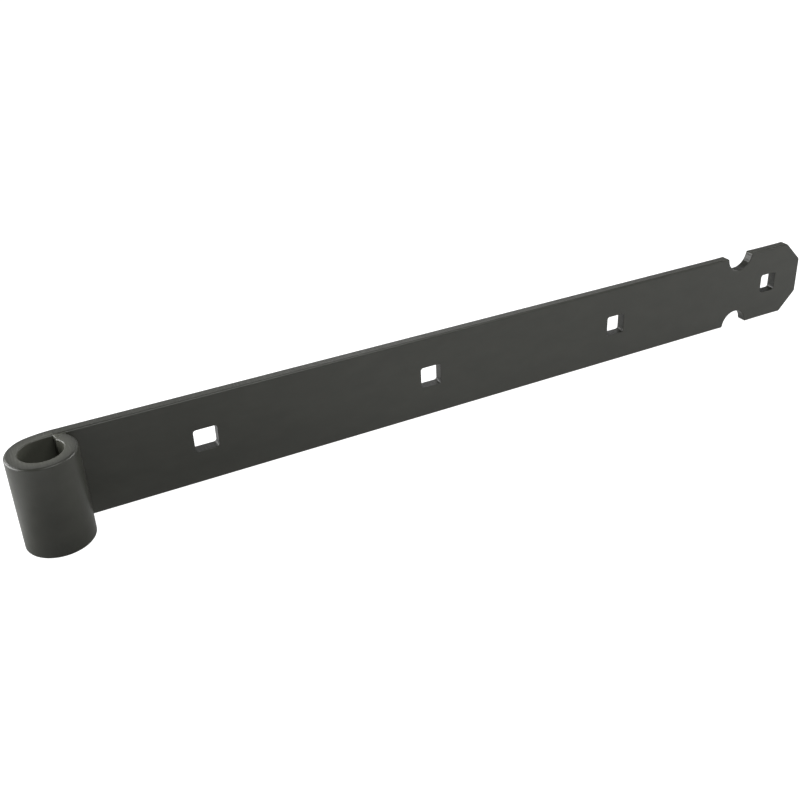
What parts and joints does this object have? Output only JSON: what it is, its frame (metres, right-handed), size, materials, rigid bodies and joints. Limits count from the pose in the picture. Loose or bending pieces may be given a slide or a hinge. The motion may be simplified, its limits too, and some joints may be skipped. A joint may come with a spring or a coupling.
{
  "type": "strap hinge leaf",
  "caption": "Flat steel strap hinge leaf for a gate or door, with a rolled pin eye at one end, square bolt holes along the bar and a necked, chamfered head.",
  "frame": {"origin": "on the axis of the pin eye, halfway up the eye", "axes": "+Z along the pin axis, upwards; +X along the strap from the eye to the tip; +Y into the gate, square to the strap's back face"},
  "size_m": [0.4132, 0.0274, 0.04],
  "materials": {
    "coated_steel": "satin powder coat over hot rolled steel",
    "coated_weld": "satin powder coat over a weld bead"
  },
  "bodies": {
    "root": {"strap": "coated_steel", "eye_weld": "coated_weld"}
  },
  "joints": []
}
